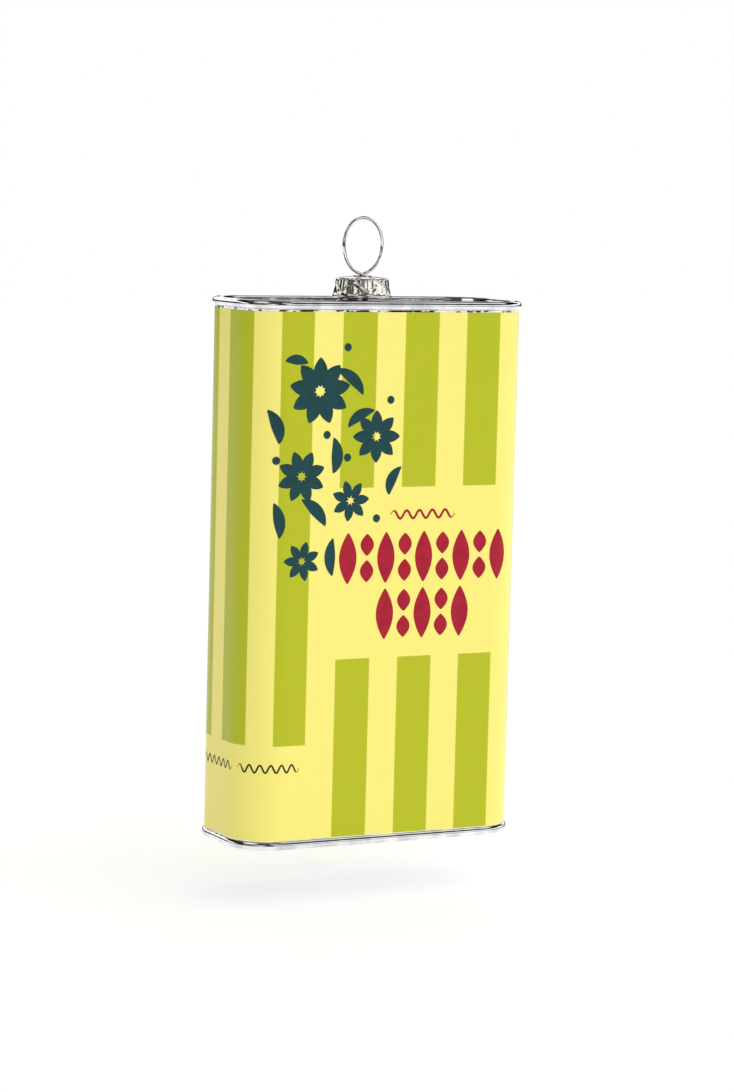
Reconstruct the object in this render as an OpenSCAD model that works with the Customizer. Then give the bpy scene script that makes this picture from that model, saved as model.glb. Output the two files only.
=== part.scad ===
// Hanging glass ornament in the shape of a flat, rectangular oil tin.
// The origin is the middle of the base, on the surface that it stands on.
// X is the width, Y the depth with the front face towards -Y, and Z is up.

/* [Body] */
// Width over the printed film, between the flat sides
body_w = 68.6; // [50:0.1:90]
// Depth over the printed film, from front to back
body_d = 28.3; // [24:0.1:40]
// Height from the base to the top of the upper bead
body_h = 120; // [80:0.5:160]
// Radius of the four upright corners, over the film
corner_r = 9.1; // [5:0.1:10.5]
// Thickness of the blown glass
glass_t = 1; // [0.7:0.05:1.5]

/* [Beads] */
// Radius of the round bead along the top and bottom edges
bead_r = 1; // [0.9:0.05:1.3]
// How far a bead stands out from the film
bead_out = 0.55; // [0.3:0.05:0.65]
// How far the top and bottom panels lie below the edges of their beads
panel_drop = 0.6; // [0.3:0.05:0.7]
// How much of the lower bead is flattened to stand on
base_flat = 0.1; // [0.05:0.01:0.15]

/* [Film] */
// Thickness of the printed film
film_t = 0.12; // [0.08:0.01:0.3]
// Thickness of the glue between the film and the glass
glue_t = 0.03; // [0.02:0.01:0.1]
// Bare glass between the film and the upper bead
film_top_margin = 0.35; // [0.1:0.05:3]
// Bare glass between the film and the lower bead
film_low_margin = 0.15; // [0.1:0.05:3]
// Gap between the two ends of the film, at the middle of the back
film_seam = 0.3; // [0.1:0.05:2]

/* [Neck] */
// Outer diameter of the glass neck
neck_d = 10.6; // [9:0.1:11]
// Thickness of the glass in the neck
neck_t = 1; // [0.7:0.05:1.3]
// Place of the neck along the width, from the middle of the body
neck_x = -1.7; // [-15:0.1:15]
// Radius where the neck flows into the top panel
neck_fillet = 0.6; // [0.3:0.05:0.8]

/* [Crown cap] */
// Space between the side of the neck's lip and the inside of the skirt
cap_side_gap = 0.275; // [0.1:0.025:0.6]
// How far the skirt flares out from its upper edge to its lower edge
cap_flare = 0.535; // [0.3:0.005:0.8]
// Space between the cap's lower edge and the top panel
cap_above_panel = 0.9; // [0.3:0.05:2]
// Height of the skirt, from the lower edge to the upper edge
cap_h = 4.25; // [3.4:0.05:4.6]
// Thickness of the stamped sheet
cap_t = 0.3; // [0.2:0.02:0.34]
// Radius over the upper edge
cap_edge_r = 0.5; // [0.4:0.05:0.7]
// Rise of the domed top, from its edge to its raised centre
cap_dome = 0.3; // [0.1:0.05:0.6]
// Height of the hem
hem_h = 0.6; // [0.4:0.05:0.8]
// How far the hem stands out from the skirt
hem_out = 0.14; // [0.05:0.01:0.2]
// Number of upright ribs round the skirt
rib_count = 24; // [12:1:28]
// Radius of a rib
rib_r = 0.3; // [0.2:0.02:0.36]
// How far a rib stands out from the skirt
rib_out = 0.12; // [0.06:0.01:0.18]
// Diameter of the raised centre
boss_d = 4.7; // [4:0.1:5.5]
// Height of the raised centre above the dome
boss_h = 0.2; // [0.1:0.05:0.4]
// Space between the crossing wires and the edge of their hole
wire_hole_gap = 0.23; // [0.18:0.01:0.5]
// Space between the neck's lip and the inside of the cap
cap_seat = 0.2; // [0.1:0.05:0.4]

/* [Hanger wire] */
// Diameter of the spring wire
wire_d = 0.72; // [0.5:0.02:0.76]
// Outer diameter of the ring
ring_d = 13.08; // [11:0.02:20]
// Turn of the ring from the body's width
ring_turn = 18; // [0:1:90]
// Height of the ring's lowest point above the raised centre
ring_gap = 0.05; // [0.02:0.01:0.3]
// Space between the two wires where they cross
cross_gap = 0.06; // [0.04:0.01:0.12]
// Distance from the ring's upright axis at which a wire leaves the circle
leave_x = 1.3; // [1.1:0.05:1.4]
// Radius of the bend from the ring into a leg
bend_r = 1; // [0.8:0.05:1.1]
// Slope of a leg, from the level
leg_slope = 75; // [72:0.5:80]
// Space between the tip of a leg and the inside of the neck
leg_gap = 0.3; // [0.2:0.05:0.6]

/* [Hidden] */

// Facets of a full circle, and steps of a rounded edge in a turned outline
circle_fn = 96;
edge_steps = 6;
// Extra length that carries a cut clear of the surface it opens
through = 1;
// How much wider a joint between two stretches of wire is than the wire
joint_swell = 0.012;

// Outline of the glass under the film
film_stack = film_t + glue_t;
glass_w = body_w - 2 * film_stack;
glass_d = body_d - 2 * film_stack;
glass_r = corner_r - film_stack;

// The beads' centre line lies inside the film's face
bead_inset = bead_r - bead_out;
bead_path_w = body_w - 2 * bead_inset;
bead_path_d = body_d - 2 * bead_inset;
bead_path_r = corner_r - bead_inset;
low_bead_z = bead_r - base_flat;
top_bead_z = body_h - bead_r;
low_panel_z = panel_drop;
top_panel_z = body_h - panel_drop;

film_z0 = low_bead_z + bead_r + film_low_margin;
film_z1 = top_bead_z - bead_r - film_top_margin;

neck_r = neck_d / 2;
bore_r = neck_r - neck_t;

// Skirt line and dome line of the cap, as slopes from upright and from level
edge_r = neck_r + cap_side_gap + cap_t;
skirt_r = edge_r + cap_flare;
hem_r = skirt_r + hem_out;
boss_r = boss_d / 2;
skirt_slope = atan(cap_flare / cap_h);
dome_slope = atan(cap_dome / (edge_r - boss_r));
// Height of the cap's inner face above its lower edge, over the neck's lip
seat_h = cap_h + (edge_r - neck_r) * tan(dome_slope) - cap_t / cos(dome_slope);
cap_z = top_panel_z + cap_above_panel;
neck_h = cap_above_panel + seat_h - cap_seat;
boss_top_h = cap_h + cap_dome + boss_h;

// Centre line of the ring, and the two bends that lead into its legs
wire_r = wire_d / 2;
ring_r = ring_d / 2 - wire_r;
ring_z = cap_z + boss_top_h + ring_gap + wire_r + ring_r;
ring_top_z = ring_z + ring_r;
half_tilt = asin((wire_r + cross_gap / 2) / (2 * ring_r));
leave_angle = asin(leave_x / ring_r);
bend_x = (ring_r + bend_r) * sin(leave_angle);
bend_z = ring_z - (ring_r + bend_r) * cos(leave_angle);
leg_x = bend_x - bend_r * sin(leg_slope);
leg_z = bend_z + bend_r * cos(leg_slope);
wire_hole_r = norm([leg_x + wire_r, wire_d + cross_gap / 2]) + wire_hole_gap;
// Length at which a tilted leg's tip stands leg_gap off the neck's bore
tip_r = bore_r - wire_r - leg_gap;
leg_drop = ring_top_z - leg_z;
tip_a = pow(cos(leg_slope), 2) + pow(sin(leg_slope) * sin(half_tilt), 2);
tip_b = leg_drop * sin(leg_slope) * pow(sin(half_tilt), 2) - leg_x * cos(leg_slope);
tip_c = pow(leg_x, 2) + pow(leg_drop * sin(half_tilt), 2) - pow(tip_r, 2);
leg_len = (sqrt(tip_b * tip_b - tip_a * tip_c) - tip_b) / tip_a;

// Points of an arc about c, from angle a0 to angle a1
function arc(c, r, a0, a1) =
    [for (i = [0:edge_steps]) let (a = a0 + (a1 - a0) * i / edge_steps) c + r * [cos(a), sin(a)]];

// Centre of an arc that touches the skirt line and the dome line
function edge_centre() =
    let (full = cos(skirt_slope + dome_slope), r = cap_edge_r)
    [edge_r - r * (cos(dome_slope) - sin(skirt_slope)) / full,
     cap_h - r * (cos(skirt_slope) - sin(dome_slope)) / full];

// Height of the dome line at a radius, on the outer or the inner face
function dome_h(r, depth) = cap_h + (edge_r - r) * tan(dome_slope) - depth / cos(dome_slope);

// Outline of the cap's outer face, or of the same face a sheet's thickness deeper
function cap_face(depth) = concat(
    [[skirt_r - depth / cos(skirt_slope), 0]],
    arc(edge_centre(), cap_edge_r - depth, skirt_slope, 90 - dome_slope),
    [[boss_r - depth, dome_h(boss_r - depth, depth)],
     [boss_r - depth, boss_top_h - depth]]);

module rounded_rect(w, d, r) {
    square([w - 2 * r, d], center = true);
    square([w, d - 2 * r], center = true);
    for (x = [-1, 1], y = [-1, 1])
        translate([x * (w / 2 - r), y * (d / 2 - r)]) circle(r = r, $fn = circle_fn);
}

module rounded_block(w, d, r, z0, z1) {
    translate([0, 0, z0]) linear_extrude(z1 - z0) rounded_rect(w, d, r);
}

// Round bead carried along a rounded rectangle
module bead(w, d, r, tube_r) {
    for (x = [0, 1], y = [0, 1])
        mirror([x, 0, 0]) mirror([0, y, 0])
            translate([w / 2 - r, d / 2 - r, 0])
                rotate_extrude(angle = 90, $fn = circle_fn)
                    translate([r, 0]) circle(r = tube_r, $fn = circle_fn);
    for (y = [-1, 1])
        translate([0, y * d / 2, 0]) rotate([0, 90, 0])
            cylinder(r = tube_r, h = w - 2 * r, center = true, $fn = circle_fn);
    for (x = [-1, 1])
        translate([x * w / 2, 0, 0]) rotate([90, 0, 0])
            cylinder(r = tube_r, h = d - 2 * r, center = true, $fn = circle_fn);
}

// Neck with its fillet, from the middle of the top panel's glass up to the lip
module neck() {
    foot = glass_t / 2;
    flare = arc([neck_r + neck_fillet, foot + neck_fillet], neck_fillet, 270, 180);
    translate([neck_x, 0, top_panel_z - foot])
        rotate_extrude($fn = circle_fn)
            polygon(concat([[0, 0], [neck_r + neck_fillet, 0]], flare,
                           [[neck_r, foot + neck_h], [0, foot + neck_h]]));
}

// One hollow piece of blown glass: sides, beads, end panels and neck
module glass_body() {
    color("gainsboro")
    difference() {
        union() {
            rounded_block(glass_w, glass_d, glass_r, low_bead_z, top_bead_z);
            rounded_block(bead_path_w, bead_path_d, bead_path_r, low_panel_z, low_bead_z);
            rounded_block(bead_path_w, bead_path_d, bead_path_r, top_bead_z, top_panel_z);
            for (z = [low_bead_z, top_bead_z])
                translate([0, 0, z]) bead(bead_path_w, bead_path_d, bead_path_r, bead_r);
            neck();
        }
        rounded_block(glass_w - 2 * glass_t, glass_d - 2 * glass_t, glass_r - glass_t,
                      low_panel_z + glass_t, top_panel_z - glass_t);
        translate([neck_x, 0, top_panel_z - glass_t - through])
            cylinder(r = bore_r, h = glass_t + neck_h + 2 * through, $fn = circle_fn);
        translate([-body_w, -body_d, -2 * through]) cube([2 * body_w, 2 * body_d, 2 * through]);
    }
}

// Printed film round the four sides, with its butt seam at the back
module label_wrap() {
    color("khaki")
    difference() {
        rounded_block(body_w, body_d, corner_r, film_z0, film_z1);
        rounded_block(body_w - 2 * film_t, body_d - 2 * film_t, corner_r - film_t,
                      film_z0 - through, film_z1 + through);
        translate([-film_seam / 2, 0, film_z0 - through])
            cube([film_seam, body_d, film_z1 - film_z0 + 2 * through]);
    }
}

// Stamped cap: fluted skirt with a hem, low dome, raised centre with the wire's hole
module crown_cap() {
    rib_len = (cap_h - cap_edge_r - hem_h) / cos(skirt_slope);
    rib_path_r = skirt_r - hem_h * tan(skirt_slope) - rib_r + rib_out;
    outer = concat([[0, 0]], cap_face(0), [[0, boss_top_h]]);
    inner = concat([[0, 0]], cap_face(cap_t), [[0, boss_top_h - cap_t]]);
    color("silver")
    translate([neck_x, 0, cap_z])
    difference() {
        union() {
            rotate_extrude($fn = circle_fn) polygon(outer);
            rotate_extrude($fn = circle_fn) square([hem_r, hem_h]);
            for (i = [0:rib_count - 1])
                rotate([0, 0, i * 360 / rib_count])
                    translate([rib_path_r, 0, hem_h]) rotate([0, -skirt_slope, 0])
                        cylinder(r = rib_r, h = rib_len, $fn = 24);
        }
        rotate_extrude($fn = circle_fn) polygon(inner);
        translate([0, 0, -through])
            cylinder(r = skirt_r - cap_t / cos(skirt_slope), h = through, $fn = circle_fn);
        cylinder(r = wire_hole_r, h = boss_top_h + through, $fn = circle_fn);
    }
}

// Swelling that makes two stretches of wire one solid where they meet
module wire_joint(x, z) {
    translate([x, 0, z]) sphere(r = wire_r + joint_swell, $fn = 32);
}

// Half of the ring with the bend and the leg that it runs into
module wire_half() {
    translate([0, 0, ring_top_z]) rotate([half_tilt, 0, 0]) translate([0, 0, -ring_top_z]) {
        translate([0, 0, ring_z]) rotate([90, 0, 0])
            rotate_extrude(angle = 180 - leave_angle, start = leave_angle - 90, $fn = circle_fn)
                translate([ring_r, 0]) circle(r = wire_r, $fn = 32);
        translate([bend_x, 0, bend_z]) rotate([90, 0, 0])
            rotate_extrude(angle = leg_slope - leave_angle, start = 90 + leave_angle,
                           $fn = circle_fn)
                translate([bend_r, 0]) circle(r = wire_r, $fn = 32);
        translate([leg_x, 0, leg_z]) rotate([0, 270 - leg_slope, 0]) {
            cylinder(r = wire_r, h = leg_len, $fn = 32);
            translate([0, 0, leg_len]) sphere(r = wire_r, $fn = 32);
        }
        wire_joint(0, ring_top_z);
        wire_joint(ring_r * sin(leave_angle), ring_z - ring_r * cos(leave_angle));
        wire_joint(leg_x, leg_z);
    }
}

// One spring wire: a ring whose ends cross at the cap's hole and spread in the neck
module hanger_wire() {
    color("lightsteelblue")
    translate([neck_x, 0, 0]) rotate([0, 0, ring_turn])
        for (side = [0, 180]) rotate([0, 0, side]) wire_half();
}

glass_body();
label_wrap();
crown_cap();
hanger_wire();
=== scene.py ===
import bpy
import math
import numpy as np
from mathutils import Matrix, Vector


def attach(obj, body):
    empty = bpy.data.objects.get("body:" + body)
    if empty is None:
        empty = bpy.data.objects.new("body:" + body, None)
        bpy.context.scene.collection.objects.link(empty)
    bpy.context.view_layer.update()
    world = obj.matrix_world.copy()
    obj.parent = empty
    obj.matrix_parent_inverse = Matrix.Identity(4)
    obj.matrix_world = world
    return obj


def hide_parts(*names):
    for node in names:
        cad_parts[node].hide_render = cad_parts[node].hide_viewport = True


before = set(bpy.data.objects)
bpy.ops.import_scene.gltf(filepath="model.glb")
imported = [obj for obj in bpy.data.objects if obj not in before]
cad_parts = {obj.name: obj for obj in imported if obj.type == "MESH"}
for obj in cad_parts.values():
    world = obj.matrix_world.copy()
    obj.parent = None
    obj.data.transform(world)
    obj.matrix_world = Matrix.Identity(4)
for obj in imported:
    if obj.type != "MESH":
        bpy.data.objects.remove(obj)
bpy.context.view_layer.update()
print("frame loaded")

scene = bpy.context.scene
scene.view_settings.view_transform = "Standard"
mm = 0.001  # the settings are in millimetres, Blender in metres


# Walks a rectangle with round corners. s is the distance from the middle of the front, positive towards
# +X. Each point is the corner's centre line plus the radius along the outward direction.
def outlineAt(s, width, depth, radius):
    far = np.abs(s)
    straight, side, quarter = width / 2 - radius, depth - 2 * radius, math.pi * radius / 2
    front = np.clip(far, 0, straight)
    turn = np.clip((far - straight) / radius, 0, math.pi / 2)
    along = np.clip(far - straight - quarter, 0, side)
    turnBack = np.clip((far - straight - quarter - side) / radius, 0, math.pi / 2)
    back = np.clip(far - straight - 2 * quarter - side, 0, straight)
    nx, ny = np.sin(turn + turnBack), -np.cos(turn + turnBack)
    x = front + radius * nx - back
    y = -(depth / 2 - radius) + along + radius * ny
    sign = np.where(s < 0, -1.0, 1.0)
    return x * sign, y, nx * sign, ny


# Stops along the outline: an even count on each straight stretch and each corner, the same on both halves.
def outlineStops(width, depth, radius, counts=(26, 16, 12, 16, 26)):
    straight, side, quarter = width / 2 - radius, depth - 2 * radius, math.pi * radius / 2
    marks = np.cumsum([0, straight, quarter, side, quarter, straight])
    parts = [np.linspace(low, high, n, endpoint=False) for low, high, n in zip(marks, marks[1:], counts)]
    half = np.concatenate(parts + [marks[-1:]])
    return np.concatenate([-half[:0:-1], half])


# A grid of points, rows by columns, made one closed shell. Columns close on themselves. Rows close on
# themselves where wrapRows is set, and otherwise on a pole at the mean of each end row. The signed volume,
# the sum of each corner triple's box product, says which way the faces point.
def closedShell(points, wrapRows=False, uv=None):
    rows, cols = points.shape[:2]
    index = np.arange(rows * cols).reshape(rows, cols)
    low = index if wrapRows else index[:-1]
    high = np.roll(index, -1, axis=0) if wrapRows else index[1:]
    quads = np.stack([low, np.roll(low, -1, 1), np.roll(high, -1, 1), high], axis=-1).reshape(-1, 4)
    verts = points.reshape(-1, 3)
    flatUv = np.zeros((len(verts), 2)) if uv is None else uv.reshape(-1, 2)
    tris = np.zeros((0, 3), dtype=int)
    if not wrapRows:
        first, last, n = index[0], index[-1], rows * cols
        tris = np.concatenate([
            np.stack([np.full(cols, n), np.roll(first, -1), first], axis=1),
            np.stack([np.full(cols, n + 1), last, np.roll(last, -1)], axis=1)])
        verts = np.concatenate([verts, points[:1].mean(1), points[-1:].mean(1)])
        flatUv = np.concatenate([flatUv, flatUv[:cols].mean(0)[None], flatUv[n - cols:n].mean(0)[None]])
    corners = verts[np.concatenate([quads[:, :3], quads[:, [0, 2, 3]], tris])]
    if np.einsum("ij,ij->", corners[:, 0], np.cross(corners[:, 1], corners[:, 2])) < 0:
        quads, tris = quads[:, ::-1], tris[:, ::-1]
    return verts, quads, tris, flatUv


# Joins closed shells, given in millimetres, into one object in metres at the origin. Edges that turn more
# than sharp degrees stay crisp.
def makePiece(name, shells, material, body, sharp=35.0):
    starts = np.cumsum([0] + [len(verts) for verts, quads, tris, uv in shells])
    allVerts = np.concatenate([verts for verts, quads, tris, uv in shells]) * mm
    allUv = np.concatenate([uv for verts, quads, tris, uv in shells])
    faces = []
    for (verts, quads, tris, uv), start in zip(shells, starts):
        faces += (quads + start).tolist() + (tris + start).tolist()
    mesh = bpy.data.meshes.new(name)
    mesh.from_pydata(allVerts.tolist(), [], faces)
    loopVerts = np.zeros(len(mesh.loops), dtype=np.int32)
    mesh.loops.foreach_get("vertex_index", loopVerts)
    mesh.uv_layers.new(name="wrap").data.foreach_set("uv", allUv[loopVerts].astype(np.float32).ravel())
    mesh.polygons.foreach_set("use_smooth", np.ones(len(mesh.polygons), dtype=bool))
    mesh.set_sharp_from_angle(angle=math.radians(sharp))
    mesh.materials.append(material)
    mesh.update()
    obj = bpy.data.objects.new(name, mesh)
    scene.collection.objects.link(obj)
    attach(obj, body)
    print(name, len(mesh.polygons), "faces")
    return obj


# A new material with its shader, ready for more nodes. Metals reflect fully, print only a little.
def newMaterial(name, colour, metallic, roughness, coat=0.0):
    material = bpy.data.materials.new(name)
    material.use_nodes = True
    nodes, links = material.node_tree.nodes, material.node_tree.links
    shader = nodes["Principled BSDF"]
    shader.inputs["Base Color"].default_value = colour
    shader.inputs["Metallic"].default_value = metallic
    shader.inputs["Roughness"].default_value = roughness
    shader.inputs["Coat Weight"].default_value = coat
    shader.inputs["Coat Roughness"].default_value = 0.03
    shader.inputs["Specular IOR Level"].default_value = 0.5 if metallic else 0.2
    return material, nodes, links, shader


# A material that is slightly uneven, as the settings say: noise in Object coordinates drives a small bump,
# the roughness between two values and, where tints are given, the colour between two tints.
def unevenMaterial(name, settings):
    made = newMaterial(name, settings["colour"], settings["metallic"], settings["roughness"], settings["coat"])
    material, nodes, links, shader = made
    noise = nodes.new("ShaderNodeTexNoise")
    noise.inputs["Scale"].default_value = settings["noiseScale"]
    noise.inputs["Detail"].default_value = 2.0
    links.new(nodes.new("ShaderNodeTexCoord").outputs["Object"], noise.inputs["Vector"])
    bump = nodes.new("ShaderNodeBump")
    bump.inputs["Strength"].default_value = 1.0
    bump.inputs["Distance"].default_value = settings["noiseHeight"] * mm
    links.new(noise.outputs["Fac"], bump.inputs["Height"])
    links.new(bump.outputs["Normal"], shader.inputs["Normal"])
    rough = nodes.new("ShaderNodeMapRange")
    rough.inputs["To Min"].default_value, rough.inputs["To Max"].default_value = settings["roughRange"]
    links.new(noise.outputs["Fac"], rough.inputs["Value"])
    links.new(rough.outputs["Result"], shader.inputs["Roughness"])
    if "tints" in settings:
        ramp = nodes.new("ShaderNodeValToRGB")
        for element, position, tint in zip(ramp.color_ramp.elements, (0.35, 0.65), settings["tints"]):
            element.position, element.color = position, tint
        links.new(noise.outputs["Fac"], ramp.inputs["Fac"])
        links.new(ramp.outputs["Color"], shader.inputs["Base Color"])
    return made


# Two values put through one math operation. Either may be a number.
def mathNode(nodes, links, operation, first, second):
    node = nodes.new("ShaderNodeMath")
    node.operation = operation
    for socket, value in zip(node.inputs, (first, second)):
        if isinstance(value, (int, float)):
            socket.default_value = value
        else:
            links.new(value, socket)
    return node.outputs["Value"]


bodySettings = {
    "pathWidth": 67.7, "pathDepth": 27.4, "pathRadius": 8.65,  # centre line of the beads
    "beadRadius": 1.0, "lowBeadZ": 0.9, "highBeadZ": 119.0,
    "wallOffset": 0.3,  # the wall stands this far outside the centre line
    "wallLowZ": 2.2, "wallHighZ": 117.7, "lowPanelZ": 0.6, "highPanelZ": 119.4,
    "panelDip": 0.12,  # how far the blown panels sink between bead and neck
    "neckX": -1.7, "neckRadius": 5.3, "neckFootZ": 120.3, "neckTopZ": 124.098, "neckFillet": 0.6,
    "boreRadius": 4.3, "boreTopZ": 123.5, "lipHeight": 0.2, "lipDrop": 0.15,
    "cavityOffset": -0.7, "cavityLowZ": 1.6, "cavityWallZ": 118.2, "cavityHighZ": 118.4,
    "colour": (0.93, 0.93, 0.94, 1), "metallic": 1.0, "roughness": 0.03, "coat": 0.0,
    "noiseScale": 260.0, "noiseHeight": 0.10, "roughRange": (0.02, 0.07),
    "tints": ((0.66, 0.66, 0.70, 1), (0.94, 0.94, 0.95, 1)),
}


# The blown body: a profile of (offset from the beads' centre line, height) carried round the outline. Below,
# the outline shrinks to a point. Above, it blends straight into the neck's circle, and each panel sinks by
# a parabola between. The inside walks back down the bore and the cavity.
def silveredBody(settings):
    path = settings["pathWidth"], settings["pathDepth"], settings["pathRadius"]
    x, y, nx, ny = outlineAt(outlineStops(*path)[:-1], *path)
    neckX, bead = settings["neckX"], settings["beadRadius"]
    lowPanelZ, highPanelZ = settings["lowPanelZ"], settings["highPanelZ"]
    neckRadius, fillet, neckTopZ = settings["neckRadius"], settings["neckFillet"], settings["neckTopZ"]

    # The outline moved out by offset.
    def ring(offset, z):
        return np.stack([x + nx * offset, y + ny * offset, np.full_like(x, z)], axis=1)

    # Part of the bead's own circle, cut flat where it would pass below the base.
    def beadRows(centreZ, start, end, count=30):
        return [ring(bead * math.cos(t), max(0.0, centreZ + bead * math.sin(t)))
                for t in np.linspace(start, end, count)]

    # The outline shrunk towards the middle, lifted by a parabola.
    def shrunk(offset, z, share, dip):
        rim = ring(offset, z)
        lifted = rim[:, 2] + dip * 4 * share * (1 - share)
        return np.stack([rim[:, 0] * share, rim[:, 1] * share, lifted], axis=1)

    # A circle about the neck's axis, each point in the direction of the outline's own.
    def circle(radius, z):
        angle = np.arctan2(y, x - neckX)
        return np.stack([neckX + radius * np.cos(angle), radius * np.sin(angle), np.full_like(x, z)], axis=1)

    lowIn = math.asin((lowPanelZ - settings["lowBeadZ"]) / bead)  # where each bead meets its panel
    highIn = math.asin((highPanelZ - settings["highBeadZ"]) / bead)
    wallTurn = math.acos(settings["wallOffset"] / bead)  # where each bead meets the wall
    lowDip = 0.5 * settings["panelDip"]
    rows = [shrunk(-bead * math.cos(lowIn), lowPanelZ, share, lowDip) for share in np.linspace(0.06, 0.97, 12)]
    rows += beadRows(settings["lowBeadZ"], -math.pi - lowIn, wallTurn)
    rows += [ring(settings["wallOffset"], z) for z in np.linspace(settings["wallLowZ"], settings["wallHighZ"], 24)]
    rows += beadRows(settings["highBeadZ"], -wallTurn, math.pi - highIn)

    rim, foot = ring(-bead * math.cos(highIn), highPanelZ), circle(neckRadius + fillet, highPanelZ)
    for share in np.linspace(0.04, 1.0, 16):
        row = rim * (1 - share) + foot * share
        row[:, 2] -= settings["panelDip"] * 4 * share * (1 - share)
        rows.append(row)
    rows += [circle(neckRadius + fillet * (1 - math.sin(t)), highPanelZ + fillet * (1 - math.cos(t)))
             for t in np.linspace(0.15, 1.0, 7) * math.pi / 2]
    rows += [circle(neckRadius, z) for z in np.linspace(settings["neckFootZ"], neckTopZ - settings["lipDrop"], 8)]

    wall, lip = (neckRadius - settings["boreRadius"]) / 2, settings["lipHeight"]
    rows += [circle(neckRadius - wall + wall * math.cos(t), neckTopZ - lip + lip * math.sin(t))
             for t in np.linspace(0.1, math.pi, 9)]
    highZ, lowZ, inset = settings["cavityHighZ"], settings["cavityLowZ"], settings["cavityOffset"]
    rows += [circle(settings["boreRadius"], z) for z in np.linspace(settings["boreTopZ"], highZ, 8)]
    boreFoot, cavityTop = circle(settings["boreRadius"], highZ), ring(inset, highZ)
    rows += [boreFoot * (1 - share) + cavityTop * share for share in np.linspace(0.1, 1.0, 10)]
    rows += [ring(inset, z) for z in np.linspace(settings["cavityWallZ"], lowZ, 12)]
    rows += [shrunk(inset, lowZ, share, 0.0) for share in np.linspace(0.95, 0.06, 10)]
    return closedShell(np.stack(rows))


silver = unevenMaterial("silveredGlass", bodySettings)[0]
body = makePiece("silveredBody", [silveredBody(bodySettings)], silver, "glass")
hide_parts("glass_body")

filmSettings = {
    "width": 68.6, "depth": 28.3, "radius": 9.1, "thickness": 0.12,
    "lowZ": 2.05, "highZ": 117.65,
    "seamHalf": 0.15, "edgeRound": 0.02,
    "sectionStops": 40,
    "green": (0.480, 0.520, 0.010, 1.0),
    # bands as distances from the middle of the front, positive towards +X
    "longBands": [(-71.9, -63.9), (-57.8, -49.3), (-43.5, -34.7), (-28.3, -20.2),
                  (33.4, 41.6), (48.0, 56.4), (63.2, 71.6)],
    "longLowZ": 23.0,
    "shortBands": [(-86.6, -78.6), (-13.8, -5.5), (1.5, 9.9), (17.1, 25.3), (79.0, 87.0)],
    "shortHighZ": 79.3, "shortLowZ": 41.6,
    "colour": (0.950, 0.850, 0.205, 1.0), "metallic": 0.0, "roughness": 0.2, "coat": 0.1,
    "noiseScale": 60.0, "noiseHeight": 0.12, "roughRange": (0.22, 0.32),
}
filmOutline = filmSettings["width"], filmSettings["depth"], filmSettings["radius"]
filmLength = 2 * outlineStops(*filmOutline)[-1]


# One row of bands as a ramp with hard steps along the film's length, white inside a band.
def bandRamp(nodes, links, along, bands):
    ramp = nodes.new("ShaderNodeValToRGB")
    ramp.color_ramp.interpolation = "CONSTANT"
    elements = ramp.color_ramp.elements
    elements.remove(elements[1])
    elements[0].position, elements[0].color = 0.0, (0, 0, 0, 1)
    for low, high in sorted(bands):
        for edge, level in ((low, 1.0), (high, 0.0)):
            elements.new(edge / filmLength + 0.5).color = (level, level, level, 1)
    links.new(along, ramp.inputs["Fac"])
    return ramp.outputs["Color"]


# Yellow film with green bands. Long bands run from the top to longLowZ, short ones leave the middle free.
def filmMaterial(settings):
    material, nodes, links, shader = unevenMaterial("printedFilm", settings)
    uvNode = nodes.new("ShaderNodeUVMap")
    uvNode.uv_map = "wrap"
    split = nodes.new("ShaderNodeSeparateXYZ")
    links.new(uvNode.outputs["UV"], split.inputs["Vector"])
    along, height = split.outputs["X"], split.outputs["Y"]
    top = settings["highZ"]
    aboveLong = mathNode(nodes, links, "GREATER_THAN", height, settings["longLowZ"] / top)
    aboveShort = mathNode(nodes, links, "GREATER_THAN", height, settings["shortHighZ"] / top)
    belowShort = mathNode(nodes, links, "LESS_THAN", height, settings["shortLowZ"] / top)
    shortHere = mathNode(nodes, links, "ADD", aboveShort, belowShort)
    longRow = bandRamp(nodes, links, along, settings["longBands"])
    shortRow = bandRamp(nodes, links, along, settings["shortBands"])
    bandMask = mathNode(nodes, links, "MAXIMUM",
                        mathNode(nodes, links, "MULTIPLY", longRow, aboveLong),
                        mathNode(nodes, links, "MULTIPLY", shortRow, shortHere))
    mix = nodes.new("ShaderNodeMix")
    mix.data_type = "RGBA"
    yellow, green = [socket for socket in mix.inputs if socket.type == "RGBA"]
    yellow.default_value, green.default_value = settings["colour"], settings["green"]
    links.new(bandMask, mix.inputs[0])
    mixed = [socket for socket in mix.outputs if socket.type == "RGBA"][0]
    links.new(mixed, shader.inputs["Base Color"])
    return material


# A point on the film's outer face, moved out by lift.
def wrapPoint(s, z, lift):
    x, y, nx, ny = outlineAt(s, *filmOutline)
    return np.stack([x + nx * lift, y + ny * lift, z + 0 * x], axis=-1)


# The film: a thin closed band, its section up the outer face and down the inner one, carried round the
# outline from seam to seam. Its own UV holds the share of the length and of the height.
def printedFilm(settings):
    stops = outlineStops(*filmOutline)
    stops[0] += settings["seamHalf"]
    stops[-1] -= settings["seamHalf"]
    count = settings["sectionStops"]
    up = np.linspace(settings["lowZ"], settings["highZ"], count)
    z = np.concatenate([up, up[::-1]])
    z[0] += settings["edgeRound"]
    z[count - 1] -= settings["edgeRound"]
    lift = np.concatenate([np.zeros(count), np.full(count, -settings["thickness"])])
    s, zGrid = np.meshgrid(stops, z, indexing="ij")
    uv = np.stack([s / filmLength + 0.5, zGrid / settings["highZ"]], axis=-1)
    return closedShell(wrapPoint(s, zGrid, np.broadcast_to(lift, s.shape)), uv=uv)


filmPiece = makePiece("printedFilmWrap", [printedFilm(filmSettings)], filmMaterial(filmSettings), "glass")
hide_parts("label_wrap")

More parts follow.
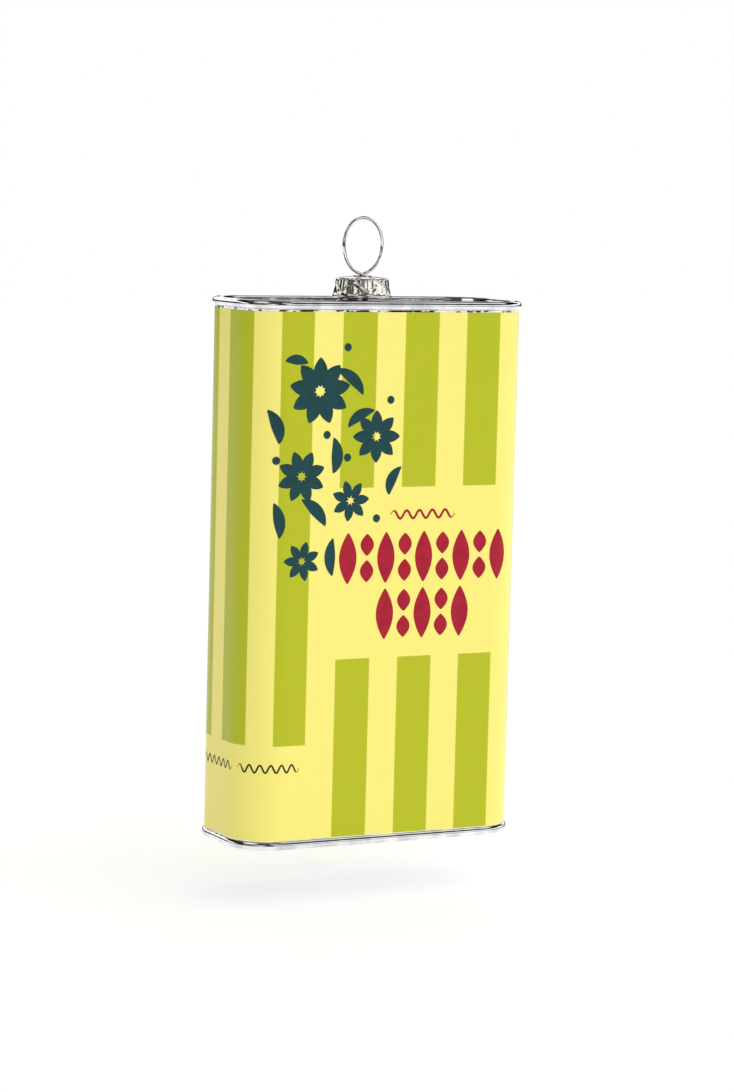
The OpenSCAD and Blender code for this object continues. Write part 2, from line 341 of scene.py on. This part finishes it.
inkSettings = {
    "lift": 0.02, "thickness": 0.03,
    "layerStep": 0.004,  # no stroke shares a height with its neighbour
    "metallic": 0.0, "roughness": 0.25, "coat": 0.05,
    "noiseScale": 400.0, "noiseHeight": 0.01, "roughRange": (0.22, 0.34),
    "shade": 0.85,  # the darker tint, as a share of the ink's colour
}


# Ink of one colour with a faint uneven gloss.
def inkMaterial(name, colour):
    tints = tuple(level * inkSettings["shade"] for level in colour[:3]) + (1,), colour
    return unevenMaterial(name, {**inkSettings, "colour": colour, "tints": tints})[0]


# A flat ink stroke on the film: a centre line of (s, z) points with a half width at each, its section a
# low closed loop, its ends closed on poles.
def inkStroke(centre, halfWidth, layer=0):
    tangent = np.gradient(centre, axis=0)
    tangent /= np.linalg.norm(tangent, axis=1, keepdims=True)
    across = np.stack([-tangent[:, 1], tangent[:, 0]], axis=1)
    place = np.array([-1.0, -0.5, 0.0, 0.5, 1.0, 0.5, 0.0, -0.5])
    side = np.array([0.0, 1.0, 1.0, 1.0, 0.0, -1.0, -1.0, -1.0])
    lift = side * inkSettings["thickness"] / 2 + inkSettings["lift"] + layer * inkSettings["layerStep"]
    s = centre[:, :1] + across[:, :1] * halfWidth[:, None] * place
    z = centre[:, 1:] + across[:, 1:] * halfWidth[:, None] * place
    return closedShell(wrapPoint(s, z, np.broadcast_to(lift, s.shape)))


# A petal: the centre line bends evenly away from its first direction, and the half width is a sine arch
# raised to the power of fullness.
def petal(s, z, length, width, angle, bend=0.0, fullness=0.8, layer=0):
    t = np.linspace(0.02, 0.98, 13)
    turn = math.radians(angle) + math.radians(bend) * t
    centre = np.stack([s + length * t * np.cos(turn), z + length * t * np.sin(turn)], axis=1)
    return inkStroke(centre, width / 2 * np.sin(math.pi * t) ** fullness, layer)


# A line that waves: a sine of that height and count across its length, thinner at its ends.
def waveLine(s, z, length, height, waves, width):
    t = np.linspace(0, 1, 14 * int(waves) + 1)
    centre = np.stack([s + length * t, z + height / 2 * np.sin(2 * math.pi * waves * t)], axis=1)
    return inkStroke(centre, width / 2 * np.clip(np.sin(math.pi * t) * 4, 0.3, 1.0))


# A flower: equal petals at equal angles round a centre, which stays open by gap of their reach.
def flower(s, z, reach, width, count, turn=0.0, gap=0.12):
    shells = []
    for layer in range(count):
        angle = turn + layer * 360.0 / count
        startS = s + reach * gap * math.cos(math.radians(angle))
        startZ = z + reach * gap * math.sin(math.radians(angle))
        shells.append(petal(startS, startZ, reach * (1 - gap), width, angle, layer=layer))
    return shells


tealSettings = {
    "colour": (0.008, 0.060, 0.066, 1.0), "petalWidth": 0.46,  # as a share of the reach
    # s, z, reach, petals, turn
    "flowers": [(-18.5, 100.5, 7.4, 9, 10), (-4.5, 90.5, 5.8, 8, 0), (-22.5, 82.0, 5.8, 8, 20),
                (-10.5, 76.5, 4.6, 7, 5), (-22.0, 63.5, 4.4, 7, 25)],
    # s, z, length, width, angle, bend
    "leaves": [(-28.0, 89.0, 8.0, 2.8, 80, 30), (-11.5, 92.5, 7.5, 2.4, 60, -30),
               (-15.0, 82.5, 8.0, 2.8, 60, 30), (-16.5, 71.0, 8.5, 2.8, 110, 25),
               (-1.0, 77.5, 7.0, 2.4, 100, -35), (-27.5, 68.5, 8.0, 2.6, 80, 20),
               (-14.5, 60.0, 8.5, 2.6, 110, -20), (-8.0, 99.5, 9.0, 2.6, 110, 30),
               (-27.0, 107.0, 5.5, 2.2, 20, -25)],
    "dots": [(-11.5, 86.0), (-28.5, 85.5), (-1.2, 98.5), (-4.0, 72.5), (-12.0, 110.0), (-16.6, 91.0)],
    "dotSize": 1.8, "dotFullness": 0.5, "leafLayer": 4, "dotLayer": 5,
}
tealShells = []
for s, z, reach, count, turn in tealSettings["flowers"]:
    tealShells += flower(s, z, reach, reach * tealSettings["petalWidth"], count, turn)
tealShells += [petal(*leaf, layer=tealSettings["leafLayer"]) for leaf in tealSettings["leaves"]]
dotSize = tealSettings["dotSize"]
tealShells += [petal(s - dotSize / 2, z, dotSize, dotSize, 0, 0, tealSettings["dotFullness"],
                     tealSettings["dotLayer"]) for s, z in tealSettings["dots"]]
makePiece("tealFlowerPrint", tealShells, inkMaterial("tealInk", tealSettings["colour"]), "glass")

redSettings = {
    "colour": (0.43, 0.006, 0.028, 1.0), "middle": 8.0, "pitch": 4.7,
    "rows": [(63.8, 9), (51.3, 5)],  # height and count of columns
    "tall": (11.6, 4.3), "small": (5.0, 3.3), "smallStarts": (-5.4, 0.4), "fullness": 0.9,
    "wave": (-0.5, 73.2, 16.0, 1.8, 5, 0.55),  # s, z, length, height, waves, width
}
redShells = []
for z, columns in redSettings["rows"]:  # tall lozenges with pairs of small ones between
    for column in range(columns):
        s = redSettings["middle"] + (column - (columns - 1) / 2) * redSettings["pitch"]
        tall = column % 2 == 0
        length, width = redSettings["tall"] if tall else redSettings["small"]
        for start in (-length / 2,) if tall else redSettings["smallStarts"]:
            redShells.append(petal(s, z + start, length, width, 90, 0, redSettings["fullness"]))
redShells.append(waveLine(*redSettings["wave"]))
makePiece("redLozengePrint", redShells, inkMaterial("redInk", redSettings["colour"]), "glass")

blackSettings = {
    "colour": (0.012, 0.012, 0.014, 1.0),
    "waves": [(-52.0, 18.0, 14.0, 1.7, 6, 0.4), (-36.0, 18.0, 14.5, 1.7, 6, 0.4)],
}
blackShells = [waveLine(*wave) for wave in blackSettings["waves"]]
makePiece("blackWavePrint", blackShells, inkMaterial("blackInk", blackSettings["colour"]), "glass")

capSettings = {
    "x": -1.7, "lowZ": 120.3, "skirtRadius": 6.41, "edgeRadius": 5.875, "edgeZ": 124.55, "edgeRound": 0.5,
    "hemRadius": 6.55, "hemHeight": 0.6, "hemTuck": 0.07, "hemRoll": 0.15, "hemLip": 0.1,
    "domeRadius": 2.35, "domeZ": 124.85, "topZ": 125.05, "holeRadius": 1.4,
    "wall": 0.3, "topSpan": 0.4,  # the wall is measured straight down within topSpan of the dome
    "ribs": 24, "ribDepth": 0.12, "stopsPerRib": 14,
    "pressDepth": 0.16, "leafSwing": 0.55, "leafWaves": 6, "leafWidth": 2.2, "leafCount": 12, "leafLean": 3,
    "colour": (0.85, 0.80, 0.72, 1), "metallic": 1.0, "roughness": 0.16, "coat": 0.0,
    "noiseScale": 900.0, "noiseHeight": 0.03, "roughRange": (0.10, 0.26),
    "tints": ((0.74, 0.68, 0.60, 1), (0.92, 0.89, 0.84, 1)),
}


# The cap: a closed profile of (radius, height), outside up and inside down, turned about the neck. Round
# ribs press the skirt in and out with the cosine of the angle. A wavy row of leaf shapes, a ridge that
# follows a sine and is cut up by a cosine, is pressed in between hem and edge.
def crownCap(settings):
    angle = np.linspace(0, 2 * math.pi, settings["ribs"] * settings["stopsPerRib"], endpoint=False)
    lowZ, wall, edgeZ, domeZ, topZ = (settings[key] for key in ("lowZ", "wall", "edgeZ", "domeZ", "topZ"))
    skirtRadius, edgeRadius, edgeRound = settings["skirtRadius"], settings["edgeRadius"], settings["edgeRound"]
    hemRadius, hemRoll, domeRadius = settings["hemRadius"], settings["hemRoll"], settings["domeRadius"]
    hemTop, skirtTop, shoulder = lowZ + settings["hemHeight"], edgeZ - edgeRound, edgeRadius - edgeRound
    hem = [(hemRadius - settings["hemTuck"], lowZ), (hemRadius, lowZ + hemRoll),
           (hemRadius, hemTop - hemRoll), (hemRadius - settings["hemLip"], hemTop)]
    skirt = [(skirtRadius + (edgeRadius - skirtRadius) * t, hemTop + (skirtTop - hemTop) * t)
             for t in np.linspace(0.05, 1, 26)]
    edge = [(edgeRadius - edgeRound * (1 - math.cos(t)), skirtTop + edgeRound * math.sin(t))
            for t in np.linspace(0, math.pi / 2, 8)[1:]]
    dome = [(shoulder + (domeRadius - shoulder) * t, edgeZ + (domeZ - edgeZ) * math.sin(t * math.pi / 2))
            for t in np.linspace(0.15, 1, 8)]
    boss = [(domeRadius - 0.12, topZ - 0.05), (domeRadius - 0.2, topZ), (settings["holeRadius"], topZ)]
    outside = np.array(hem + skirt + edge + dome + boss)
    inside = outside[::-1] - np.array([0.0, wall])
    inside[:, 0] = np.where(inside[:, 1] > domeZ - wall - settings["topSpan"], inside[:, 0], inside[:, 0] - wall)
    inside[:, 1] = np.maximum(inside[:, 1], lowZ)
    profile = np.concatenate([outside, inside])
    radius, z = profile[:, :1], profile[:, 1:]

    onSkirt = np.clip((z - hemTop) / 0.4, 0, 1) * np.clip((edgeZ - z) / 0.5, 0, 1)
    pressed = np.clip((z - hemTop - 0.3) / 0.4, 0, 1) * np.clip((skirtTop - 0.1 - z) / 0.4, 0, 1)
    ribs = settings["ribDepth"] * (0.5 + 0.5 * np.cos(settings["ribs"] * angle))
    middle = (z - (hemTop + skirtTop) / 2) / ((skirtTop - hemTop) / 2)
    swing = settings["leafSwing"] * np.sin(settings["leafWaves"] * angle)
    ridge = np.clip(1 - np.abs(middle + swing) * settings["leafWidth"], 0, 1)
    leaf = ridge * (0.5 + 0.5 * np.cos(settings["leafCount"] * angle + settings["leafLean"] * middle))
    radius = radius + onSkirt * (ribs - settings["ribDepth"]) - pressed * settings["pressDepth"] * leaf
    points = [settings["x"] + radius * np.cos(angle), radius * np.sin(angle), z + 0 * radius]
    return closedShell(np.stack(points, axis=-1), wrapRows=True)


capMetal = unevenMaterial("capMetal", capSettings)[0]
cap = makePiece("crownCapMetal", [crownCap(capSettings)], capMetal, "cap", 50.0)
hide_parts("crown_cap")

wireSettings = {
    "x": -1.7, "capTopZ": 125.05, "diameter": 0.72, "ringDiameter": 13.08, "ringTurn": 18.0,
    "ringGap": 0.05, "crossGap": 0.06, "leaveX": 1.3, "bendRadius": 1.0,
    "legSlope": 75.0, "legGap": 0.3,  # the legs' tips stop this far from the bore
    "sides": 20, "blendStops": 60.0,
    "colour": (0.8, 0.8, 0.78, 1), "metallic": 1.0, "roughness": 0.15, "coat": 0.0,
    "noiseScale": 700.0, "noiseHeight": 0.01, "roughRange": (0.10, 0.24),
    "tints": ((0.70, 0.68, 0.64, 1), (0.88, 0.86, 0.82, 1)),
}


# The length of a leg, so that its tip is tipRadius from the neck's axis: the larger root of a quadratic.
def legReach(legX, drop, slope, lean, tipRadius):
    a = math.cos(slope) ** 2 + (math.sin(slope) * math.sin(lean)) ** 2
    b = drop * math.sin(slope) * math.sin(lean) ** 2 - legX * math.cos(slope)
    c = legX ** 2 + (drop * math.sin(lean)) ** 2 - tipRadius ** 2
    return (math.sqrt(b * b - a * c) - b) / a


# The wire: a ring that crosses itself below, two small bends and two spread legs. One half lies in a plane
# that leans about the ring's top, the other is the same half turned half way round, and a round section
# follows the line. The section's first direction is the plane's normal, blended across the ring's top.
def hangerWire(settings):
    wireRadius, bendRadius = settings["diameter"] / 2, settings["bendRadius"]
    ringRadius = settings["ringDiameter"] / 2 - wireRadius
    ringZ = settings["capTopZ"] + settings["ringGap"] + wireRadius + ringRadius
    top = ringZ + ringRadius
    lean = math.asin((wireRadius + settings["crossGap"] / 2) / (2 * ringRadius))
    leave = math.asin(settings["leaveX"] / ringRadius)
    slope = math.radians(settings["legSlope"])
    bendX = (ringRadius + bendRadius) * math.sin(leave)
    bendZ = ringZ - (ringRadius + bendRadius) * math.cos(leave)
    legX = bendX - bendRadius * math.sin(slope)
    legZ = bendZ + bendRadius * math.cos(slope)
    tipRadius = bodySettings["boreRadius"] - wireRadius - settings["legGap"]
    legLength = legReach(legX, top - legZ, slope, lean, tipRadius)

    ring = np.linspace(math.pi / 2, leave - math.pi / 2, 90)
    bend = np.linspace(math.pi / 2 + leave, math.pi / 2 + slope, 14)[1:]
    leg = np.linspace(0, legLength, 24)[1:]
    x = np.concatenate([ringRadius * np.cos(ring), bendX + bendRadius * np.cos(bend), legX - leg * math.cos(slope)])
    z = np.concatenate([ringZ + ringRadius * np.sin(ring), bendZ + bendRadius * np.sin(bend),
                        legZ - leg * math.sin(slope)])
    half = np.stack([x, (top - z) * math.sin(lean), top - (top - z) * math.cos(lean)], axis=1)
    line = np.concatenate([(half * np.array([-1, -1, 1]))[::-1], half[1:]])

    share = np.clip((np.arange(len(line)) - len(half) + 1) / settings["blendStops"], -1, 1)[:, None]
    normal = np.concatenate([0 * share, 0 * share + math.cos(lean), math.sin(lean) * share], axis=1)
    tangent = np.gradient(line, axis=0)
    tangent /= np.linalg.norm(tangent, axis=1, keepdims=True)
    normal -= tangent * np.sum(normal * tangent, axis=1, keepdims=True)
    normal /= np.linalg.norm(normal, axis=1, keepdims=True)
    other = np.cross(tangent, normal)
    turn = np.linspace(0, 2 * math.pi, settings["sides"], endpoint=False)[:, None]
    points = line[:, None] + wireRadius * (np.cos(turn) * normal[:, None] + np.sin(turn) * other[:, None])
    px, py, ringTurn = points[..., 0], points[..., 1], math.radians(settings["ringTurn"])
    turnedX = settings["x"] + px * math.cos(ringTurn) - py * math.sin(ringTurn)
    turnedY = px * math.sin(ringTurn) + py * math.cos(ringTurn)
    return closedShell(np.stack([turnedX, turnedY, points[..., 2]], axis=-1))


wireMetal = unevenMaterial("wireMetal", wireSettings)[0]
wire = makePiece("hangerWireMetal", [hangerWire(wireSettings)], wireMetal, "hanger", 60.0)
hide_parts("hanger_wire")

# The object floats above the floor. The floor's glow keeps it white, so that only a faint shadow shows.
floorSettings = {"drop": 12.5, "size": 6000.0, "colour": (0.74, 0.74, 0.74, 1.0), "roughness": 0.9, "glow": 0.42}

floorMaterial, floorNodes, floorLinks, floorShader = newMaterial(
    "paleFloorFinish", floorSettings["colour"], 0.0, floorSettings["roughness"])
floorShader.inputs["Emission Color"].default_value = (1, 1, 1, 1)
floorShader.inputs["Emission Strength"].default_value = floorSettings["glow"]
floorMesh = bpy.data.meshes.new("paleFloor")
reach, level = floorSettings["size"] * mm / 2, -floorSettings["drop"] * mm
floorCorners = [(-reach, -reach, level), (reach, -reach, level), (reach, reach, level), (-reach, reach, level)]
floorMesh.from_pydata(floorCorners, [], [(0, 1, 2, 3)])
floorMesh.materials.append(floorMaterial)
floor = bpy.data.objects.new("paleFloor", floorMesh)
scene.collection.objects.link(floor)

studioSettings = {
    "keyDirection": (0.85, -0.50, 0.15), "dim": 0.22, "bright": 1.38,  # soft light from the front's right
    # share of the way from straight down to straight up, brightness seen in mirrors
    "mirrorBands": [(0.0, 0.9), (0.46, 0.6), (0.50, 0.02), (0.56, 0.03), (0.59, 1.2),
                    (0.70, 1.3), (0.74, 0.03), (0.84, 0.05), (0.88, 1.3), (1.0, 1.1)],
    "blotchScale": 1.6, "blotchRange": (0.44, 0.50), "blotchDark": 0.06,  # dark shapes in mirrors
}


# A studio with three looks: plain white to the camera, banded and blotched in mirrors, and otherwise a soft
# light that grows evenly towards the key direction.
def softStudio(settings):
    world = bpy.data.worlds.new("softStudio")
    scene.world = world
    world.use_nodes = True
    nodes, links = world.node_tree.nodes, world.node_tree.links
    direction = nodes.new("ShaderNodeTexCoord").outputs["Generated"]

    keyDot = nodes.new("ShaderNodeVectorMath")
    keyDot.operation = "DOT_PRODUCT"
    keyDot.inputs[1].default_value = settings["keyDirection"]
    links.new(direction, keyDot.inputs[0])
    soft = nodes.new("ShaderNodeMapRange")
    soft.inputs["From Min"].default_value = -1.0
    soft.inputs["To Min"].default_value = settings["dim"]
    soft.inputs["To Max"].default_value = settings["bright"]
    links.new(keyDot.outputs["Value"], soft.inputs["Value"])

    split = nodes.new("ShaderNodeSeparateXYZ")
    links.new(direction, split.inputs["Vector"])
    upShare = mathNode(nodes, links, "MULTIPLY", mathNode(nodes, links, "ADD", split.outputs["Z"], 1.0), 0.5)
    ramp = nodes.new("ShaderNodeValToRGB")
    elements, bands = ramp.color_ramp.elements, settings["mirrorBands"]
    for element, (position, brightness) in zip(elements, (bands[0], bands[-1])):
        element.position, element.color = position, (brightness,) * 3 + (1,)
    for position, brightness in bands[1:-1]:
        elements.new(position).color = (brightness,) * 3 + (1,)
    links.new(upShare, ramp.inputs["Fac"])

    blotch = nodes.new("ShaderNodeTexNoise")
    blotch.inputs["Scale"].default_value = settings["blotchScale"]
    blotch.inputs["Detail"].default_value = 0.0
    links.new(direction, blotch.inputs["Vector"])
    blotchLevel = nodes.new("ShaderNodeMapRange")
    blotchLevel.inputs["From Min"].default_value, blotchLevel.inputs["From Max"].default_value = settings["blotchRange"]
    blotchLevel.inputs["To Min"].default_value = settings["blotchDark"]
    links.new(blotch.outputs["Fac"], blotchLevel.inputs["Value"])

    softLight = nodes["Background"]
    softLight.inputs["Color"].default_value = (1, 1, 1, 1)
    links.new(soft.outputs["Result"], softLight.inputs["Strength"])
    mirrorLight = nodes.new("ShaderNodeBackground")
    links.new(ramp.outputs["Color"], mirrorLight.inputs["Color"])
    links.new(blotchLevel.outputs["Result"], mirrorLight.inputs["Strength"])
    backdrop = nodes.new("ShaderNodeBackground")
    backdrop.inputs["Color"].default_value = (1, 1, 1, 1)

    path = nodes.new("ShaderNodeLightPath")
    shown = softLight.outputs["Background"]
    for rays, light in (("Is Glossy Ray", mirrorLight), ("Is Camera Ray", backdrop)):
        mix = nodes.new("ShaderNodeMixShader")
        links.new(path.outputs[rays], mix.inputs["Fac"])
        links.new(shown, mix.inputs[1])
        links.new(light.outputs["Background"], mix.inputs[2])
        shown = mix.outputs["Shader"]
    links.new(shown, nodes["World Output"].inputs["Surface"])


softStudio(studioSettings)
print("studio lit")

cameraSettings = {
    "place": (-0.346381, -0.670575, 0.148485),  # metres
    "right": (0.888838, -0.457510, 0.025516),
    "up": (0.027935, 0.109684, 0.993574),
    "forward": (0.457369, 0.882414, -0.110272),
    "lens": 111.91, "sensor": 36.0, "clip": (0.01, 50.0),
}
cameraData = bpy.data.cameras.new("photoCamera")
cameraData.lens, cameraData.sensor_width = cameraSettings["lens"], cameraSettings["sensor"]
cameraData.clip_start, cameraData.clip_end = cameraSettings["clip"]
camera = bpy.data.objects.new("photoCamera", cameraData)
right, up, forward = (Vector(cameraSettings[key]) for key in ("right", "up", "forward"))
facing = Matrix((right, up, -forward)).transposed().to_4x4()
camera.matrix_world = Matrix.Translation(Vector(cameraSettings["place"])) @ facing
scene.collection.objects.link(camera)
scene.camera = camera
